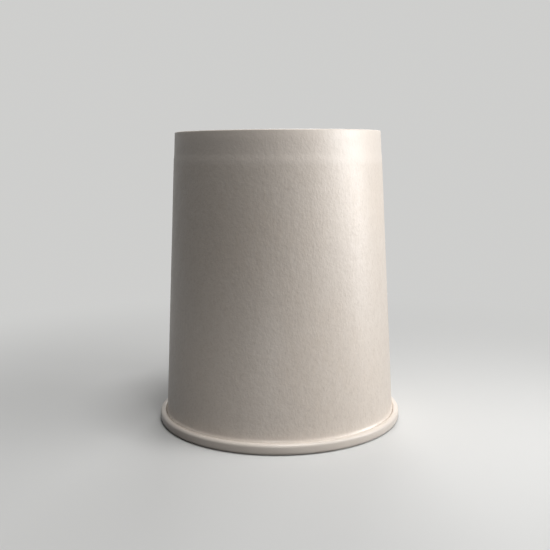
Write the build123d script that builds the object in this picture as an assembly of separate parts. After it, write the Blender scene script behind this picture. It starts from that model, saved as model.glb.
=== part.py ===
from build123d import *
import os
from math import cos, radians, sin, tan

# A paper soup container: a tapered tub of coated board, standing mouth down on its rolled rim.
# The axis is Z. The rim's crown lies at Z = 0 and the closed base end is at the top.
# All sizes are in millimetres.

# Overall sizes
container_height = 136.0    # from the rim's crown to the fold at the base end
rim_diameter = 117.0        # outside of the rolled rim, which a lid grips
base_diameter = 94.4        # outside of the crimped band at the base end

# Board
wall_board = 0.45           # thickness of the side wall's blank
base_board = 0.40           # thickness of the base disc's blank
seal_gap = 0.02             # clearance left where two pieces are pressed together

# Rolled rim
rim_height = 5.0            # from the crown to the top of the roll
rim_overhang = 3.26         # how far the roll stands out from the wall
rim_outer_corner = 1.8      # radius from the crown to the rim's side, on the outer face
rim_upper_corner = 1.5      # radius from the rim's side to the top of the roll, on the outer face
rim_inner_corner = 0.82     # radius from the wall to the crown, on the face that shows in the mouth
curl_corner = 0.9           # radius where the roll turns down beside the wall, on the outer face
ply_gap = 0.15              # clearance between one turn of the roll and the next
curl_end = 1.8              # from the top of the roll down to the blank's cut edge inside it

# Foot of the wall, which flares out to meet the rolled rim
foot_flare = 0.40           # how far the wall's foot stands out from the line of the wall
flare_start = 0.6           # from the top of the roll up to where the flare starts
flare_end = 0.4             # from the top of the roll down to where the flare is widest
flare_blend = 2.0           # radius that softens the start of the flare
flare_turn = 0.6            # radius where the flare turns down beside the roll

# Base end
base_recess = 11.5          # from the fold to the outer face of the base disc
hem_clearance = 1.5         # from the cut edge of the turned-in wall to the base disc
fold_corner = 0.5           # radius of the fold's two corners, on the outer face
base_bend = 1.0             # radius where the disc turns into its skirt, on the face inside the tub
skirt_end_gap = 0.3         # room between the skirt's cut edge and the fold
crimp_height = 10.0         # height of the band where wall, skirt and hem are pressed together
crimp_run = 2.5             # height over which the wall steps in to that band
crimp_step = 0.15           # how far the band lies inside the line of the wall
crimp_blend = 30.0          # radius that softens both ends of the step

# Side seam, at the back
seam_overlap = 8.0          # width of the overlap of the blank's two ends
seam_ramp = 4.0             # length over which the wall steps back to one thickness
seam_sink = 0.1             # how deep the seam's outer layer runs into the wall it is sealed to
seam_foot = 0.3             # how far the outer layer's end runs down behind the roll

AXIS_PLANE = Plane.XZ


def wall_radius(height):
    """Radius of the wall's outer face at a height, on the cone and on the crimped band."""
    rim_end = rim_diameter / 2 - rim_overhang
    base_end = base_diameter / 2 + crimp_step
    cone_share = (height - rim_height) / (container_height - rim_height)
    cone = rim_end + (base_end - rim_end) * cone_share
    step_share = (height - crimp_start()) / crimp_run
    return cone - crimp_step * min(max(step_share, 0), 1)


def flare_heights():
    """Heights of the flare's foot, where it is widest, and of its top, where it starts."""
    return rim_height - flare_end, rim_height + flare_start


def face_radius(height):
    """Radius of the wall's outer face at a height, with the flare at its foot."""
    flare_foot, flare_top = flare_heights()
    widest = wall_radius(flare_foot) + foot_flare
    if height >= flare_top:
        return wall_radius(height)
    if height >= flare_foot:
        share = (flare_top - height) / (flare_top - flare_foot)
        return wall_radius(flare_top) + (widest - wall_radius(flare_top)) * share
    return wall_radius(0) + (widest - wall_radius(0)) * height / flare_foot


def crimp_start():
    """Height where the wall begins to step in to the crimped band."""
    return container_height - crimp_height - crimp_run


def skirt_radius(height):
    """Radius of the middle of the base disc's skirt, which lies against the crimped band."""
    band_foot = crimp_start() + crimp_run
    band_top = container_height
    slope = (wall_radius(band_top) - wall_radius(band_foot)) / (band_top - band_foot)
    band = wall_radius(band_top) + slope * (height - band_top)
    return band - wall_board - seal_gap - base_board / 2


def hem_radius(height):
    """Radius of the middle of the turned-in edge, which lies against the skirt."""
    return skirt_radius(height) - base_board / 2 - seal_gap - wall_board / 2


def bend_radii(corners, radii, thickness):
    """The bends' middle radii, each kept to what the board and its two neighbouring runs allow."""
    points = [Vector(*corner) for corner in corners]
    kept = []
    for before, corner, after, radius in zip(points, points[1:], points[2:], radii):
        run_in = corner - before
        run_out = after - corner
        half_turn = radians(run_in.get_angle(run_out)) / 2
        room = 0.48 * min(run_in.length, run_out.length) / tan(half_turn)
        kept.append(min(max(radius, 0.55 * thickness), room))
    return kept


def revolve_board(corners, radii, thickness):
    """A bent sheet of board, given by the middle line of its section, turned about the axis."""
    middle_line = FilletPolyline(*corners, radius=bend_radii(corners, radii, thickness))
    section = trace(middle_line, line_width=thickness)
    return revolve(AXIS_PLANE * section, axis=Axis.Z)


def wall_sheet():
    """The side wall's blank as one bent sheet: turned-in edge, fold, wall, rim and curl."""
    half = wall_board / 2
    turn = wall_board + ply_gap
    hem_end = container_height - base_recess + hem_clearance
    fold = container_height - half
    band_foot = crimp_start() + crimp_run
    flare_foot, flare_top = flare_heights()
    roll_top = rim_height - half
    rim_side = rim_diameter / 2 - half
    runs = [
        ((hem_radius(hem_end), hem_end), None),
        ((hem_radius(fold), fold), fold_corner - half),
        ((wall_radius(fold) - half, fold), fold_corner - half),
        ((wall_radius(band_foot) - half, band_foot), crimp_blend),
        ((wall_radius(crimp_start()) - half, crimp_start()), crimp_blend),
        ((face_radius(flare_top) - half, flare_top), flare_blend),
        ((face_radius(flare_foot) - half, flare_foot), flare_turn - half),
        ((face_radius(half) - half, half), rim_inner_corner - half),
        ((rim_side, half), rim_outer_corner - half),
        ((rim_side, roll_top), rim_upper_corner - half),
        ((face_radius(roll_top) + ply_gap + half, roll_top), curl_corner - half),
        ((face_radius(half + turn) + ply_gap + half, half + turn), rim_inner_corner - half),
        ((rim_side - turn, half + turn), rim_outer_corner - half - turn),
        ((rim_side - turn, rim_height - curl_end), None),
    ]
    corners = [corner for corner, _ in runs]
    radii = [radius for _, radius in runs[1:-1]]
    return revolve_board(corners, radii, wall_board)


def seam_section(height, inner, outer, start, peak, end):
    """A section across the wall at the back, between two radii and three widths along the wall."""
    start, peak, end = (width / face_radius(height) for width in (start, peak, end))

    def point(radius, angle):
        return Vector(radius * sin(angle), radius * cos(angle), height)

    def arc(radius, first, last):
        middle = point(radius, (first + last) / 2)
        return ThreePointArc(point(radius, first), middle, point(radius, last))

    edges = [Line(point(inner, start), point(outer, start))]
    if peak > start:
        edges.append(arc(outer, start, peak))
    edges.append(Line(point(outer, peak), point(inner, end)))
    edges.append(arc(inner, end, start))
    return Face(Wire(edges))


def seam_layer():
    """The outer end of the blank: a layer on the wall, stepped at its cut edge and ramped down."""
    foot = rim_height - flare_end - seam_foot
    top = container_height - fold_corner
    half_lap = seam_overlap / 2
    sections = []
    for height in (foot, *flare_heights(), crimp_start(), crimp_start() + crimp_run, top):
        inner = face_radius(height) - seam_sink
        outer = face_radius(height) + wall_board
        sections.append(seam_section(height, inner, outer, -half_lap, half_lap, half_lap + seam_ramp))
    return loft(sections, ruled=True)


def seam_groove():
    """The space beside the blank's inner end, where the wall bends back to one thickness."""
    half_lap = seam_overlap / 2
    sections = []
    for height in (rim_inner_corner, *flare_heights(), crimp_start()):
        inner = face_radius(height) - wall_board - seam_sink
        outer = face_radius(height)
        sections.append(seam_section(height, inner, outer, half_lap, half_lap, half_lap + seam_ramp))
    return loft(sections, ruled=True)


def side_wall():
    """The wrapped wall, with its rolled rim, its turned-in edge and its side seam."""
    return wall_sheet() + seam_layer() - seam_groove()


def base_disc():
    """The recessed base, drawn from one round blank into a disc with a skirt."""
    disc_middle = container_height - base_recess - base_board / 2
    skirt_top = container_height - fold_corner - skirt_end_gap
    corners = [
        (0, disc_middle),
        (skirt_radius(disc_middle), disc_middle),
        (skirt_radius(skirt_top), skirt_top),
    ]
    return revolve_board(corners, [base_bend - base_board / 2], base_board)


PARTS = {
    "side_wall": side_wall,
    "base_disc": base_disc,
}

os.makedirs("parts", exist_ok=True)
for name, make_part in PARTS.items():
    export_step(make_part(), f"parts/{name}.step")
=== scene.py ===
from math import atan2, ceil, cos, hypot, pi, radians, sin, tan
import random

import bmesh
import bpy
from mathutils import Euler, Matrix, Vector


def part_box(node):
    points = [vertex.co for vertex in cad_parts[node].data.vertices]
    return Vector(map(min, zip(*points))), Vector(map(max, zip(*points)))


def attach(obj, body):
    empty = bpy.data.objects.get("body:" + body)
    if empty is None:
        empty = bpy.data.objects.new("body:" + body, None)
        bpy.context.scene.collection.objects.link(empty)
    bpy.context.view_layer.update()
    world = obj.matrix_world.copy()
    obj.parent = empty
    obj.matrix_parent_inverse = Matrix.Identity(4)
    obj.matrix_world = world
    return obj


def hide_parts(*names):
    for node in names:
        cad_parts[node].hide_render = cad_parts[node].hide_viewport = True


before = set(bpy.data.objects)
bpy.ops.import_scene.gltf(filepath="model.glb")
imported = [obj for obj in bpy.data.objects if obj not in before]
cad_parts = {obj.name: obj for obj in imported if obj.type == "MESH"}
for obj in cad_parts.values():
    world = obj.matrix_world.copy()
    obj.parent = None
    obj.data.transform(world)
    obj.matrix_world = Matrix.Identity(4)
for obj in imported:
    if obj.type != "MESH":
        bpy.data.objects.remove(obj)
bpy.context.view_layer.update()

# A paper soup container, standing mouth down on its rolled rim.
# Everything is in metres, and a size in millimetres is multiplied by MM.
# The board's thicknesses, bends and runs are the solid part's own. Only the flare is a curve here, and the
# crimped band starts a little more crisply.

MM = 0.001

# Sizes read from the frame
wall_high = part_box("side_wall")[1]
base_low, base_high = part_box("base_disc")
TUB_HEIGHT = wall_high.z
RIM_RADIUS = wall_high.x
DISC_INNER_FACE = base_low.z
SKIRT_END = base_high.z

# Board
WALL_BOARD = 0.45 * MM
BASE_BOARD = 0.40 * MM
SEAL_GAP = 0.02 * MM

# Rolled rim
RIM_HEIGHT = 5.0 * MM
RIM_OVERHANG = 3.26 * MM
RIM_OUTER_CORNER = 1.8 * MM
RIM_UPPER_CORNER = 1.5 * MM
RIM_INNER_CORNER = 0.82 * MM
CURL_CORNER = 0.9 * MM
PLY_GAP = 0.15 * MM
CURL_END = 1.8 * MM

# Foot of the wall
FOOT_FLARE = 0.40 * MM
FLARE_TOP = 6.1 * MM
FLARE_FOOT = 4.6 * MM
FLARE_BLEND = 3.0 * MM
FLARE_TURN = 0.6 * MM

# Base end
BAND_RADIUS = 47.2 * MM
BASE_RECESS = 11.5 * MM
HEM_CLEARANCE = 1.5 * MM
FOLD_CORNER = 0.5 * MM
BASE_BEND = 1.0 * MM
CRIMP_HEIGHT = 10.0 * MM
CRIMP_RUN = 2.5 * MM
CRIMP_STEP = 0.15 * MM
CRIMP_BLEND = 20.0 * MM

half_board = WALL_BOARD / 2
crimp_start = TUB_HEIGHT - CRIMP_HEIGHT - CRIMP_RUN
band_foot = TUB_HEIGHT - CRIMP_HEIGHT

# Side seam, centred on the back, with its widths as angles round the tub
LAP_HALF_ANGLE = radians(4.5)
RAMP_END_ANGLE = radians(9.0)
CUT_EDGE_ANGLE = radians(0.03)
SEAM_FOOT = 0.3 * MM          # how far the outer layer's end runs down behind the roll
LAP_PRESS_DROP = 3 * MM       # from the fold down to where the lap begins to be pressed flatter
FOLD_LAP_SHARE = 0.5          # how much of the lap's height is left at the fold
ROLL_LAP_SHARE = 0.6          # how much of the groove's depth is left on the roll
GROOVE_FADE = 6 * MM          # length over which the groove ends below the crimped band

# Unevenness left by forming: its depth, the size of its waves, and where it fades
WALL_UNEVENNESS = 0.12 * MM
WALL_WAVES = 26 * MM
WALL_FADE_LOW = (12 * MM, 30 * MM)
WALL_FADE_HIGH = (110 * MM, 121 * MM)
ROLL_UNEVENNESS = 0.12 * MM
ROLL_WAVES = 14 * MM
ROLL_FADE_LOW = (1 * MM, 2 * MM)
ROLL_FADE_WIDTH = 2 * MM
DISC_UNEVENNESS = 0.20 * MM
DISC_WAVES = 30 * MM
DISC_FADE_OUT = (30 * MM, 44 * MM)

# Ribs rolled into the turned-in edge, and pleats where the base is drawn up
KNURL_RIBS = 160
KNURL_DEPTH = 0.14 * MM
KNURL_LOW = 128.5 * MM
KNURL_HIGH = 133.5 * MM
KNURL_FADE = 1 * MM
PUCKERS = 96
PUCKER_DEPTH = 0.10 * MM
PUCKER_START = 4.5 * MM       # from the skirt inwards to where the pleats begin
PUCKER_FULL = 1.2 * MM        # from the skirt inwards to where they have their full depth

# Colours
BOARD_COOL = (0.735, 0.663, 0.592)
BOARD_WARM = (0.750, 0.660, 0.572)
BOARD_PALE = (0.775, 0.699, 0.627)
BOARD_PIT = (0.600, 0.521, 0.450)
# Painted light: a paler board colour, laid on the crimped band as painted light and on the wall's foot and
# roll as a painted highlight
BOARD_PAINTED_LIGHT = (0.800, 0.725, 0.654)
CORE_DARK = (0.560, 0.470, 0.370)
CORE_PALE = (0.740, 0.660, 0.560)

# Grain of the outer coating: size of its clouds, fibres, mottle and flecks, and how strongly each shows
CLOUD_SIZE = 45 * MM
FIBRE_SIZE = 1.6 * MM
FIBRE_SHARE = 0.60
MOTTLE_SIZE = 3.6 * MM
MOTTLE_SHARE = 0.20
FLECK_SIZE = 1.0 * MM
FLECK_SHARE = 0.44

# Skin of the outer coating: size and depth of each of its reliefs
PEBBLE_SIZE = 1.05 * MM
PEBBLE_DEPTH = 0.066 * MM
TOOTH_SIZE = 0.55 * MM
TOOTH_DEPTH = 0.030 * MM
LUMP_SIZE = 3.0 * MM
LUMP_DEPTH = 0.07 * MM
RIPPLE_SIZE = 9 * MM
RIPPLE_DEPTH = 0.05 * MM

# Gloss of the coatings
SATIN_ROUGHNESS = (0.38, 0.46)
SATIN_GRAIN = 5 * MM
SATIN_SHEEN = 0.75
BURNISH = -0.17               # change of roughness where the rolling has rubbed the coating
# Below these heights the foot of the wall and the roll have a smoother coating, and are also painted paler
# as a painted highlight
BURNISH_AND_HIGHLIGHT_HEIGHTS = (4.5 * MM, 7 * MM)
# Painted light: from these heights up the crimped band is painted paler, standing in for the brighter
# light it catches
CRIMPED_PAINTED_LIGHT_SHARE = 0.5           # how much of the paler painted-light colour the crimped band shows
CRIMPED_HEIGHTS = (crimp_start - 2.4 * MM, crimp_start - 0.8 * MM)
INNER_ROUGHNESS = (0.30, 0.38)
INNER_GRAIN = 6 * MM
INNER_CLOUDS = 30 * MM
INNER_PEBBLE_SIZE = 1.0 * MM
INNER_PEBBLE_DEPTH = 0.020 * MM
CORE_ROUGHNESS = 0.9
CORE_FIBRE_SIZE = 0.12 * MM
CORE_FIBRE_DEPTH = 0.04 * MM

# Mesh
COLUMNS = 480
WALL_STEP = 5.0 * MM
CURVE_STEP = radians(16)
DISC_LAST_RING = 2 * MM
CUT_SNAP = 1e-6
SMOOTH_ANGLE = radians(40)

def wall_radius(height):
    """Radius of the wall's outer face at a height, on the cone and on the crimped band."""
    rim_end = RIM_RADIUS - RIM_OVERHANG
    base_end = BAND_RADIUS + CRIMP_STEP
    cone_share = (height - RIM_HEIGHT) / (TUB_HEIGHT - RIM_HEIGHT)
    cone = rim_end + (base_end - rim_end) * cone_share
    step_share = (height - crimp_start) / CRIMP_RUN
    return cone - CRIMP_STEP * min(max(step_share, 0), 1)


def face_radius(height):
    """Radius of the wall's outer face at a height, with the flare at its foot."""
    widest = wall_radius(FLARE_FOOT) + FOOT_FLARE
    if height >= FLARE_FOOT:
        share = max(FLARE_TOP - height, 0) / (FLARE_TOP - FLARE_FOOT)
        return wall_radius(height) + FOOT_FLARE * share ** 2
    return wall_radius(0) + (widest - wall_radius(0)) * height / FLARE_FOOT


def skirt_radius(height):
    """Radius of the middle of the base's skirt, pressed against the crimped band."""
    slope = (wall_radius(TUB_HEIGHT) - wall_radius(band_foot)) / CRIMP_HEIGHT
    band = wall_radius(TUB_HEIGHT) + slope * (height - TUB_HEIGHT)
    return band - WALL_BOARD - SEAL_GAP - BASE_BOARD / 2


def hem_radius(height):
    """Radius of the middle of the wall's turned-in edge, pressed against the skirt."""
    return skirt_radius(height) - BASE_BOARD / 2 - SEAL_GAP - half_board


# Bending the board


def walk(points, target, step):
    """Goes on from the last point to the target in even steps."""
    start = points[-1]
    count = max(1, ceil((target - start).length / step))
    for number in range(1, count + 1):
        points.append(start.lerp(target, number / count))


def bent_line(corners, board, step):
    """The middle line of a bent sheet: straight runs, with a round bend at each inner corner."""
    places = [Vector(corner[:2]) for corner in corners]
    radii = [corner[2] for corner in corners[1:-1]]
    points = [places[0]]
    for before, corner, after, radius in zip(places, places[1:], places[2:], radii):
        run_in = (corner - before).normalized()
        run_out = (after - corner).normalized()
        turn = run_in.angle_signed(run_out)
        half_turn = tan(abs(turn) / 2)
        room = 0.48 * min((corner - before).length, (after - corner).length) / half_turn
        radius = min(max(radius, 0.55 * board), room)
        start = corner - run_in * radius * half_turn
        side = Vector((run_in.y, -run_in.x)) * (1 if turn > 0 else -1)
        centre = start + side * radius
        walk(points, start, step)
        steps = max(2, ceil(abs(turn) / CURVE_STEP))
        for number in range(1, steps + 1):
            points.append(centre + Matrix.Rotation(-turn * number / steps, 2) @ (start - centre))
    walk(points, places[-1], step)
    return points


def start_ring(name, point):
    """A ring of board edge round the axis, ready to be drawn out into a sheet."""
    bpy.ops.object.select_all(action="DESELECT")
    bpy.ops.mesh.primitive_circle_add(vertices=COLUMNS, radius=point.x, location=(0, 0, point.y))
    piece = bpy.context.object
    piece.name = name
    piece.data.name = name
    bpy.ops.object.transform_apply(location=True, rotation=True, scale=True)
    bpy.ops.object.mode_set(mode="EDIT")
    bpy.ops.mesh.select_all(action="SELECT")
    return piece


def draw_out(line):
    """Draws the selected ring out along a line, one ring of board for each of its points."""
    for before, after in zip(line, line[1:]):
        lift = (0, 0, after.y - before.y)
        widening = after.x / before.x
        bpy.ops.mesh.extrude_edges_move(TRANSFORM_OT_translate={"value": lift})
        bpy.ops.transform.resize(value=(widening, widening, 1), center_override=(0, 0, after.y))


def give_thickness(piece, board):
    """Gives a sheet its thickness, with its outside, its inside and its cut edges as three finishes."""
    sheet = piece.modifiers.new("board", "SOLIDIFY")
    sheet.thickness = board
    sheet.offset = 0
    sheet.use_even_offset = True
    sheet.material_offset = 1
    sheet.material_offset_rim = 2
    bpy.ops.object.modifier_apply(modifier=sheet.name)


def seam_angle(place):
    """Angle round the tub from the middle of the seam at the back, growing towards +X."""
    return atan2(place.x, place.y)


def skin_points(piece, finish):
    """The points of a sheet that lie on its outside (0), its inside (1) or its cut edges (2)."""
    faces = (face for face in piece.data.polygons if face.material_index == finish)
    return {point for face in faces for point in face.vertices}


def press(piece, name, depth, share, points=None, pattern=None, rest=0.0):
    """Moves points along the sheet's normals, by a depth times the share that a rule gives each one."""
    group = piece.vertex_groups.new(name=name)
    for point in piece.data.vertices:
        if points is None or point.index in points:
            amount = share(point.co)
            if amount > 0:
                group.add([point.index], min(amount, 1.0), "REPLACE")
    push = piece.modifiers.new(name, "DISPLACE")
    push.strength = depth
    push.mid_level = rest
    push.vertex_group = name
    if pattern:
        push.texture = pattern
        push.texture_coords = "LOCAL"
    bpy.ops.object.modifier_apply(modifier=push.name)


def soft_noise(name, size):
    """Rounded random hills and hollows of about one size."""
    pattern = bpy.data.textures.new(name, "CLOUDS")
    pattern.noise_scale = size
    pattern.noise_depth = 1
    return pattern


def rise(value, start, end):
    """0 below the start, 1 above the end and a smooth rise between them."""
    share = min(max((value - start) / (end - start), 0.0), 1.0)
    return share * share * (3 - 2 * share)


def cut_column(piece, angle):
    """Cuts a new column of points into both skins at an angle from the seam."""
    bpy.ops.object.mode_set(mode="EDIT")
    bpy.ops.mesh.select_mode(type="FACE")
    bpy.ops.mesh.select_all(action="DESELECT")
    mesh = bmesh.from_edit_mesh(piece.data)
    reach = 1.5 * 2 * pi / COLUMNS
    for face in mesh.faces:
        middle = face.calc_center_median()
        if abs(seam_angle(middle) - angle) < reach:
            face.select_set(True)
    bmesh.update_edit_mesh(piece.data)
    across = (cos(angle), -sin(angle), 0)
    bpy.ops.mesh.bisect(plane_co=(0, 0, 0), plane_no=across, threshold=CUT_SNAP)
    bpy.ops.object.mode_set(mode="OBJECT")


# Side wall


def wall_line():
    """The side wall's section, from its turned-in edge over the fold and down to the curl's end."""
    turn = WALL_BOARD + PLY_GAP
    hem_end = TUB_HEIGHT - BASE_RECESS + HEM_CLEARANCE
    fold = TUB_HEIGHT - half_board
    roll_top = RIM_HEIGHT - half_board
    rim_side = RIM_RADIUS - half_board
    curl_foot = half_board + turn
    flare_high = FLARE_FOOT + (FLARE_TOP - FLARE_FOOT) * 2 / 3
    flare_low = FLARE_FOOT + (FLARE_TOP - FLARE_FOOT) / 3
    return bent_line(
        [
            (hem_radius(hem_end), hem_end, 0),
            (hem_radius(fold), fold, FOLD_CORNER - half_board),
            (wall_radius(fold) - half_board, fold, FOLD_CORNER - half_board),
            (wall_radius(band_foot) - half_board, band_foot, CRIMP_BLEND),
            (wall_radius(crimp_start) - half_board, crimp_start, CRIMP_BLEND),
            (face_radius(FLARE_TOP) - half_board, FLARE_TOP, FLARE_BLEND),
            (face_radius(flare_high) - half_board, flare_high, FLARE_BLEND),
            (face_radius(flare_low) - half_board, flare_low, FLARE_BLEND),
            (face_radius(FLARE_FOOT) - half_board, FLARE_FOOT, FLARE_TURN - half_board),
            (face_radius(half_board) - half_board, half_board, RIM_INNER_CORNER - half_board),
            (rim_side, half_board, RIM_OUTER_CORNER - half_board),
            (rim_side, roll_top, RIM_UPPER_CORNER - half_board),
            (face_radius(roll_top) + PLY_GAP + half_board, roll_top, CURL_CORNER - half_board),
            (face_radius(curl_foot) + PLY_GAP + half_board, curl_foot, RIM_INNER_CORNER - half_board),
            (rim_side - turn, curl_foot, RIM_OUTER_CORNER - half_board - turn),
            (rim_side - turn, RIM_HEIGHT - CURL_END, 0),
        ],
        WALL_BOARD,
        WALL_STEP,
    )


def wall_uneven_share(place):
    """Full on the cone, and none at the roll and on the crimped band, which are pressed round."""
    return rise(place.z, *WALL_FADE_LOW) * (1 - rise(place.z, *WALL_FADE_HIGH))


def roll_uneven_share(place):
    """Full on the roll's outer side, and none at the wall and on the crown."""
    out = rise(hypot(place.x, place.y), RIM_RADIUS - ROLL_FADE_WIDTH, RIM_RADIUS)
    return out * rise(place.z, *ROLL_FADE_LOW)


def uneven_wall(piece):
    """Leaves the wall and the roll a little out of true, as formed board is, with the crown flat."""
    waves = soft_noise("board_waves", WALL_WAVES)
    press(piece, "wall_unevenness", WALL_UNEVENNESS, wall_uneven_share, pattern=waves, rest=0.5)
    waves = soft_noise("roll_waves", ROLL_WAVES)
    press(piece, "roll_unevenness", ROLL_UNEVENNESS, roll_uneven_share, pattern=waves, rest=0.5)


def on_inner_ply(place):
    """True on the turned-in edge, more than a thickness inside the wall's outer face."""
    return hypot(place.x, place.y) < face_radius(place.z) - 1.5 * WALL_BOARD


def lap_share(place):
    """Height of the seam's outer layer: a step at its cut edge, the lap, and a ramp down."""
    angle = seam_angle(place)
    if angle < -LAP_HALF_ANGLE - CUT_EDGE_ANGLE / 2:
        return 0.0
    if place.z < FLARE_FOOT - SEAM_FOOT:
        return 0.0
    beyond = (RAMP_END_ANGLE - angle) / (RAMP_END_ANGLE - LAP_HALF_ANGLE)
    near_fold = rise(place.z, TUB_HEIGHT - LAP_PRESS_DROP, TUB_HEIGHT - FOLD_CORNER)
    pressed = 1 - (1 - FOLD_LAP_SHARE) * near_fold
    return min(beyond, 1.0) * (FOLD_LAP_SHARE if on_inner_ply(place) else pressed)


def groove_share(place):
    """Depth of the hollow beside the blank's inner end, which the wall bends back to close."""
    angle = seam_angle(place)
    if angle < LAP_HALF_ANGLE + CUT_EDGE_ANGLE / 2 or place.z > crimp_start:
        return 0.0
    if on_inner_ply(place):
        return 0.0
    beyond = (RAMP_END_ANGLE - angle) / (RAMP_END_ANGLE - LAP_HALF_ANGLE)
    on_roll = hypot(place.x, place.y) > face_radius(place.z) + PLY_GAP / 2
    fading = 1 - rise(place.z, crimp_start - GROOVE_FADE, crimp_start)
    return max(beyond, 0.0) * fading * (ROLL_LAP_SHARE if on_roll else 1.0)


def bare_the_step(piece, angle, finish):
    """Shows the board's raw core on the narrow faces of a step, at an angle from the seam's middle."""
    for face in piece.data.polygons:
        off = abs(seam_angle(face.center) - angle)
        if face.material_index == finish and off < CUT_EDGE_ANGLE / 2 and face.center.z > FLARE_FOOT:
            face.material_index = 2


def lap_the_seam(piece):
    """Laps the blank's two ends at the back: a step outside at one end, a step inside at the other."""
    cut_column(piece, -LAP_HALF_ANGLE - CUT_EDGE_ANGLE)
    cut_column(piece, LAP_HALF_ANGLE + CUT_EDGE_ANGLE)
    press(piece, "seam_lap", WALL_BOARD, lap_share, points=skin_points(piece, 0))
    press(piece, "seam_groove", -WALL_BOARD, groove_share, points=skin_points(piece, 1))
    bare_the_step(piece, -LAP_HALF_ANGLE - CUT_EDGE_ANGLE / 2, 0)
    bare_the_step(piece, LAP_HALF_ANGLE + CUT_EDGE_ANGLE / 2, 1)


def knurl_share(place):
    """Depth of the ribs rolled into the turned-in edge, where it is pressed to the skirt."""
    if not on_inner_ply(place):
        return 0.0
    turn = (atan2(place.y, place.x) / (2 * pi)) % 1.0
    rib = cos(2 * pi * KNURL_RIBS * turn) > 0.9
    above = rise(place.z, KNURL_LOW - KNURL_FADE, KNURL_LOW)
    below = 1 - rise(place.z, KNURL_HIGH, KNURL_HIGH + KNURL_FADE)
    return above * below if rib else 0.0


def make_wall():
    """The wrapped wall with its fold, its crimped band, its rolled rim and its side seam."""
    line = wall_line()
    piece = start_ring("tub_wall", line[0])
    draw_out(line)
    bpy.ops.mesh.select_all(action="SELECT")
    bpy.ops.mesh.normals_make_consistent(inside=False)
    bpy.ops.object.mode_set(mode="OBJECT")
    uneven_wall(piece)
    for finish in (coated_board(), inner_board(), cut_board()):
        piece.data.materials.append(finish)
    give_thickness(piece, WALL_BOARD)
    press(piece, "knurl", -KNURL_DEPTH, knurl_share, points=skin_points(piece, 0))
    lap_the_seam(piece)
    bpy.ops.object.shade_smooth_by_angle(angle=SMOOTH_ANGLE)
    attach(piece, "root")
    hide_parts("side_wall")


# Base disc


def base_line():
    """The base's section, from the end of its skirt down and round to near the middle of the disc."""
    disc_middle = DISC_INNER_FACE + BASE_BOARD / 2
    return bent_line(
        [
            (skirt_radius(SKIRT_END), SKIRT_END, 0),
            (skirt_radius(disc_middle), disc_middle, BASE_BEND - BASE_BOARD / 2),
            (DISC_LAST_RING, disc_middle, 0),
        ],
        BASE_BOARD,
        WALL_STEP,
    )


def pucker_share(place):
    """Depth of the small pleats where the blank is drawn up into its skirt."""
    reach = hypot(place.x, place.y)
    turn = (atan2(place.y, place.x) / (2 * pi)) % 1.0
    number = round(turn * PUCKERS) % PUCKERS
    crease = max(cos(2 * pi * PUCKERS * turn), 0.0)
    strength = random.Random(number).uniform(0.2, 1.0)
    bend = skirt_radius(DISC_INNER_FACE)
    return crease * strength * rise(reach, bend - PUCKER_START, bend - PUCKER_FULL)


def disc_uneven_share(place):
    """Full in the middle of the disc, and none where it bends into its skirt."""
    return 1 - rise(hypot(place.x, place.y), *DISC_FADE_OUT)


def make_base():
    """The base, drawn from one round blank into a disc with a skirt."""
    line = base_line()
    piece = start_ring("tub_base", line[0])
    draw_out(line)
    bpy.ops.mesh.extrude_edges_move()
    bpy.ops.mesh.merge(type="CENTER")
    bpy.ops.mesh.select_all(action="SELECT")
    bpy.ops.mesh.normals_make_consistent(inside=False)
    bpy.ops.object.mode_set(mode="OBJECT")
    waves = soft_noise("disc_waves", DISC_WAVES)
    press(piece, "disc_unevenness", DISC_UNEVENNESS, disc_uneven_share, pattern=waves, rest=0.5)
    for finish in (coated_board(), inner_board(), cut_board()):
        piece.data.materials.append(finish)
    give_thickness(piece, BASE_BOARD)
    press(piece, "puckers", -PUCKER_DEPTH, pucker_share, points=skin_points(piece, 0))
    bpy.ops.object.shade_smooth_by_angle(angle=SMOOTH_ANGLE)
    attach(piece, "root")
    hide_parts("base_disc")


# Finishes


def new_finish(name):
    """A material with its nodes, its links, its shader and the place of a point on the piece."""
    finish = bpy.data.materials.new(name)
    finish.use_nodes = True
    nodes = finish.node_tree.nodes
    place = nodes.new("ShaderNodeTexCoord").outputs["Object"]
    return finish, nodes, finish.node_tree.links, nodes["Principled BSDF"], place


def grain(nodes, links, place, size, detail=2.0, stretch=1.0):
    """Random mottling with grains of one size, drawn out up the wall where it is stretched."""
    spread = nodes.new("ShaderNodeMapping")
    spread.inputs["Scale"].default_value = (1 / size, 1 / size, 1 / (size * stretch))
    noise = nodes.new("ShaderNodeTexNoise")
    noise.inputs["Scale"].default_value = 1.0
    noise.inputs["Detail"].default_value = detail
    noise.inputs["Roughness"].default_value = 0.5
    links.new(place, spread.inputs["Vector"])
    links.new(spread.outputs["Vector"], noise.inputs["Vector"])
    return noise.outputs["Fac"]


def between(nodes, links, share, low, high, low_share=0.3, high_share=0.7):
    """A number that goes from low to high as a share goes from its low to its high."""
    change = nodes.new("ShaderNodeMapRange")
    change.inputs["From Min"].default_value = low_share
    change.inputs["From Max"].default_value = high_share
    change.inputs["To Min"].default_value = low
    change.inputs["To Max"].default_value = high
    links.new(share, change.inputs["Value"])
    return change.outputs["Result"]


def blend(nodes, links, share, first, second):
    """A blend of two colours, each a fixed colour or another blend."""
    mix = nodes.new("ShaderNodeMix")
    mix.data_type = "RGBA"
    for socket, colour in ((mix.inputs["A"], first), (mix.inputs["B"], second)):
        if isinstance(colour, tuple):
            socket.default_value = (*colour, 1)
        else:
            links.new(colour, socket)
    links.new(share, mix.inputs["Factor"])
    return mix.outputs["Result"]


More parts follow.
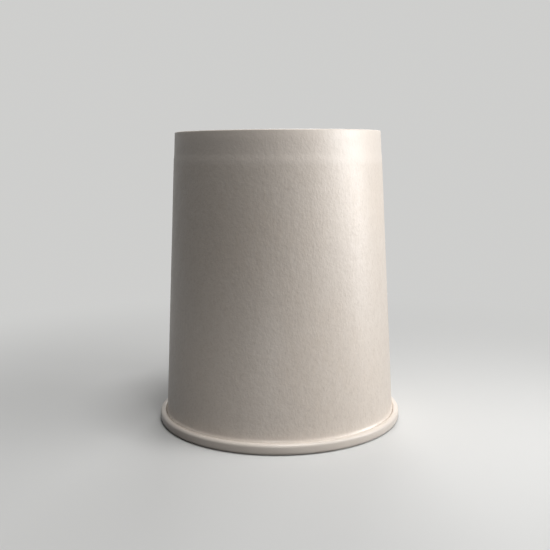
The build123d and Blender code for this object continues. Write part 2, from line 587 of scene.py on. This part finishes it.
def relief(nodes, links, height, depth, under=None):
    """A fine relief of a depth on the surface, laid over another one where one is given."""
    bump = nodes.new("ShaderNodeBump")
    bump.inputs["Strength"].default_value = 1.0
    bump.inputs["Distance"].default_value = depth
    links.new(height, bump.inputs["Height"])
    if under:
        links.new(under, bump.inputs["Normal"])
    return bump.outputs["Normal"]


def height_above(nodes, links, place):
    """Height of a point above the crown."""
    split = nodes.new("ShaderNodeSeparateXYZ")
    links.new(place, split.inputs["Vector"])
    return split.outputs["Z"]


def coated_board():
    """The tub's outside: bleached board under a thin satin coating with a fine pebbled skin, painted paler
    on the crimped band and at the wall's foot as painted light.
    """
    if "coated_board" in bpy.data.materials:
        return bpy.data.materials["coated_board"]
    finish, nodes, links, shader, place = new_finish("coated_board")
    clouds = between(nodes, links, grain(nodes, links, place, CLOUD_SIZE), 0, 1)
    fibres = between(nodes, links, grain(nodes, links, place, FIBRE_SIZE, stretch=4), 0, 1)
    mottle = between(nodes, links, grain(nodes, links, place, MOTTLE_SIZE, detail=3, stretch=1.3), 0, 1)
    flecks = between(nodes, links, grain(nodes, links, place, FLECK_SIZE, detail=3, stretch=1.5), 0, 1)
    body = blend(nodes, links, clouds, BOARD_COOL, BOARD_WARM)
    body = blend(nodes, links, between(nodes, links, fibres, 0, FIBRE_SHARE, 0, 1), body, BOARD_PALE)
    body = blend(nodes, links, between(nodes, links, mottle, MOTTLE_SHARE, 0, 0, 1), body, BOARD_PIT)
    body = blend(nodes, links, between(nodes, links, flecks, FLECK_SHARE, 0, 0, 0.5), body, BOARD_PIT)
    height = height_above(nodes, links, place)
    # Painted highlight: paler colour at the foot of the wall and on the roll, which also lowers the
    # roughness there
    burnish_and_painted_highlight = between(nodes, links, height, 1, 0, *BURNISH_AND_HIGHLIGHT_HEIGHTS)
    # Painted light: the crimped band is blended toward the paler colour, standing in for the brighter
    # light on the band
    crimped = between(nodes, links, height, 0, CRIMPED_PAINTED_LIGHT_SHARE, *CRIMPED_HEIGHTS)
    body = blend(nodes, links, crimped, body, BOARD_PAINTED_LIGHT)
    body = blend(nodes, links, burnish_and_painted_highlight, body, BOARD_PAINTED_LIGHT)
    links.new(body, shader.inputs["Base Color"])

    satin = between(nodes, links, grain(nodes, links, place, SATIN_GRAIN), *SATIN_ROUGHNESS)
    polish = nodes.new("ShaderNodeMath")
    polish.operation = "MULTIPLY_ADD"
    polish.inputs[1].default_value = BURNISH
    links.new(burnish_and_painted_highlight, polish.inputs[0])
    links.new(satin, polish.inputs[2])
    links.new(polish.outputs[0], shader.inputs["Roughness"])
    shader.inputs["Specular IOR Level"].default_value = SATIN_SHEEN

    pebbles = grain(nodes, links, place, PEBBLE_SIZE, detail=1.5, stretch=1.3)
    skin = relief(nodes, links, pebbles, PEBBLE_DEPTH)
    tooth = grain(nodes, links, place, TOOTH_SIZE)
    skin = relief(nodes, links, tooth, TOOTH_DEPTH, skin)
    lumps = grain(nodes, links, place, LUMP_SIZE, stretch=1.3)
    skin = relief(nodes, links, lumps, LUMP_DEPTH, skin)
    ripples = grain(nodes, links, place, RIPPLE_SIZE, stretch=3)
    skin = relief(nodes, links, ripples, RIPPLE_DEPTH, skin)
    links.new(skin, shader.inputs["Normal"])
    return finish


def inner_board():
    """The tub's inside, under a smoother and glossier coating."""
    if "inner_board" in bpy.data.materials:
        return bpy.data.materials["inner_board"]
    finish, nodes, links, shader, place = new_finish("inner_board")
    clouds = between(nodes, links, grain(nodes, links, place, INNER_CLOUDS), 0, 1)
    body = blend(nodes, links, clouds, BOARD_COOL, BOARD_PALE)
    links.new(body, shader.inputs["Base Color"])
    gloss = between(nodes, links, grain(nodes, links, place, INNER_GRAIN), *INNER_ROUGHNESS)
    links.new(gloss, shader.inputs["Roughness"])
    pebbles = grain(nodes, links, place, INNER_PEBBLE_SIZE, detail=1.5)
    links.new(relief(nodes, links, pebbles, INNER_PEBBLE_DEPTH), shader.inputs["Normal"])
    return finish


def cut_board():
    """The raw core of the board at its cut edges, fibrous and matt."""
    if "cut_board" in bpy.data.materials:
        return bpy.data.materials["cut_board"]
    finish, nodes, links, shader, place = new_finish("cut_board")
    fibres = between(nodes, links, grain(nodes, links, place, CORE_FIBRE_SIZE, detail=4), 0, 1)
    links.new(blend(nodes, links, fibres, CORE_DARK, CORE_PALE), shader.inputs["Base Color"])
    shader.inputs["Roughness"].default_value = CORE_ROUGHNESS
    links.new(relief(nodes, links, fibres, CORE_FIBRE_DEPTH), shader.inputs["Normal"])
    return finish


# Studio

BACKDROP_COLOUR = (0.62, 0.62, 0.61, 1)
FLOOR_COLOUR = (0.68, 0.68, 0.67, 1)
FLOOR_BOUNCE = (0.15, 0.15, 0.15, 1)
AIR_FILL = 0.0
FLOOR_RADIUS = 4.0
FLOOR_FADE = (0.09, 0.34)
FLOOR_ROUGHNESS = 0.9
FLOOR_SHEEN = 0.1


def seen_directly(nodes, links):
    """1 for a ray from the camera or off a glossy or clear surface, 0 for soft bounced light."""
    light_path = nodes.new("ShaderNodeLightPath")
    either = nodes.new("ShaderNodeMath")
    either.operation = "MAXIMUM"
    any_of = nodes.new("ShaderNodeMath")
    any_of.operation = "MAXIMUM"
    links.new(light_path.outputs["Is Camera Ray"], either.inputs[0])
    links.new(light_path.outputs["Is Glossy Ray"], either.inputs[1])
    links.new(either.outputs[0], any_of.inputs[0])
    links.new(light_path.outputs["Is Transmission Ray"], any_of.inputs[1])
    return any_of.outputs[0]


def make_air():
    """A pale backdrop, which is seen and reflected but gives no light of its own."""
    world = bpy.data.worlds.new("studio_air")
    bpy.context.scene.world = world
    world.use_nodes = True
    nodes = world.node_tree.nodes
    links = world.node_tree.links
    fill = nodes["Background"]
    fill.inputs["Color"].default_value = (1, 1, 1, 1)
    fill.inputs["Strength"].default_value = AIR_FILL
    backdrop = nodes.new("ShaderNodeBackground")
    backdrop.inputs["Color"].default_value = BACKDROP_COLOUR
    either = nodes.new("ShaderNodeMixShader")
    links.new(seen_directly(nodes, links), either.inputs[0])
    links.new(fill.outputs[0], either.inputs[1])
    links.new(backdrop.outputs[0], either.inputs[2])
    links.new(either.outputs[0], nodes["World Output"].inputs["Surface"])


def make_floor():
    """A wide pale floor that fades into the backdrop and throws little light back up."""
    bpy.ops.object.select_all(action="DESELECT")
    bpy.ops.mesh.primitive_circle_add(vertices=96, radius=FLOOR_RADIUS, fill_type="NGON")
    floor = bpy.context.object
    floor.name = "studio_floor"
    finish, nodes, links, shader, place = new_finish("studio_floor")
    seen = seen_directly(nodes, links)
    shader.inputs["Roughness"].default_value = FLOOR_ROUGHNESS
    shader.inputs["Specular IOR Level"].default_value = FLOOR_SHEEN
    colour = nodes.new("ShaderNodeMix")
    colour.data_type = "RGBA"
    colour.inputs["A"].default_value = FLOOR_BOUNCE
    colour.inputs["B"].default_value = FLOOR_COLOUR
    links.new(seen, colour.inputs["Factor"])
    links.new(colour.outputs["Result"], shader.inputs["Base Color"])
    distance = nodes.new("ShaderNodeVectorMath")
    distance.operation = "LENGTH"
    links.new(place, distance.inputs[0])
    fade = nodes.new("ShaderNodeMapRange")
    fade.interpolation_type = "SMOOTHSTEP"
    fade.inputs["From Min"].default_value, fade.inputs["From Max"].default_value = FLOOR_FADE
    links.new(distance.outputs["Value"], fade.inputs["Value"])
    far = nodes.new("ShaderNodeMath")
    far.operation = "MULTIPLY"
    links.new(fade.outputs["Result"], far.inputs[0])
    links.new(seen, far.inputs[1])
    backdrop = nodes.new("ShaderNodeEmission")
    backdrop.inputs["Color"].default_value = BACKDROP_COLOUR
    either = nodes.new("ShaderNodeMixShader")
    links.new(far.outputs[0], either.inputs[0])
    links.new(shader.outputs[0], either.inputs[1])
    links.new(backdrop.outputs[0], either.inputs[2])
    links.new(either.outputs[0], nodes["Material Output"].inputs["Surface"])
    floor.data.materials.append(finish)


def make_lamp(name, azimuth, elevation, distance, aim, size, power, spread=180):
    """A square softbox, set by its direction and distance from a height on the tub's axis."""
    turn = radians(azimuth)
    lift = radians(elevation)
    direction = Vector((sin(turn) * cos(lift), -cos(turn) * cos(lift), sin(lift)))
    place = Vector((0, 0, aim)) + direction * distance
    bpy.ops.object.light_add(type="AREA", location=place)
    lamp = bpy.context.object
    lamp.name = name
    lamp.data.shape = "SQUARE"
    lamp.data.size = size
    lamp.data.energy = power
    lamp.data.spread = radians(spread)
    lamp.rotation_euler = (-direction).to_track_quat("-Z", "Y").to_euler()


def make_lamps():
    """Three softboxes at the right, three above and behind, and a gridded one low in front.

    Each has its azimuth, elevation, distance, aimed height, size and power.
    """
    make_lamp("close_right_softbox", 68, 10, 0.26, 0.13, 0.12, 0.195)
    make_lamp("close_front_right_softbox", 60, 15, 0.42, 0.11, 0.26, 0.44)
    make_lamp("low_right_softbox", 90, 5, 0.90, 0.08, 0.32, 2.45)
    make_lamp("top_softbox", 48, 78, 0.90, 0.08, 0.32, 4.0)
    make_lamp("front_top_softbox", 12, 57, 0.90, 0.08, 0.32, 1.45)
    make_lamp("back_softbox", 175, 35, 0.90, 0.08, 0.32, 2.2)
    make_lamp("low_front_softbox", -6, 8, 0.26, 0.004, 0.05, 0.0026, spread=42)


# Camera, fitted to the tub's outline in a picture of 550 by 550 pixels

PICTURE = 550.0
FOCAL_PIXELS = 786.0
CENTRE_DROP = 50.0
CAMERA_DISTANCE = 0.374
CAMERA_HEIGHT = 0.1267
CAMERA_PITCH = radians(-12.38)
CAMERA_ROLL = radians(-0.48)
CAMERA_YAW = radians(-0.30)
SENSOR = 36.0
NEAREST = 0.01


def make_camera():
    """The camera at the photograph's viewing angle."""
    bpy.ops.object.camera_add(location=(0, -CAMERA_DISTANCE, CAMERA_HEIGHT))
    camera = bpy.context.object
    camera.name = "camera"
    heading = Euler((pi / 2 + CAMERA_PITCH, 0, -CAMERA_YAW)).to_matrix()
    camera.rotation_euler = (heading @ Matrix.Rotation(CAMERA_ROLL, 3, "Z")).to_euler()
    camera.data.sensor_width = SENSOR
    camera.data.lens = FOCAL_PIXELS / PICTURE * SENSOR
    camera.data.shift_y = CENTRE_DROP / PICTURE
    camera.data.clip_start = NEAREST
    bpy.context.scene.camera = camera


make_camera()
make_air()
make_floor()
make_lamps()
make_wall()
make_base()

bpy.context.scene.view_settings.view_transform = "Standard"
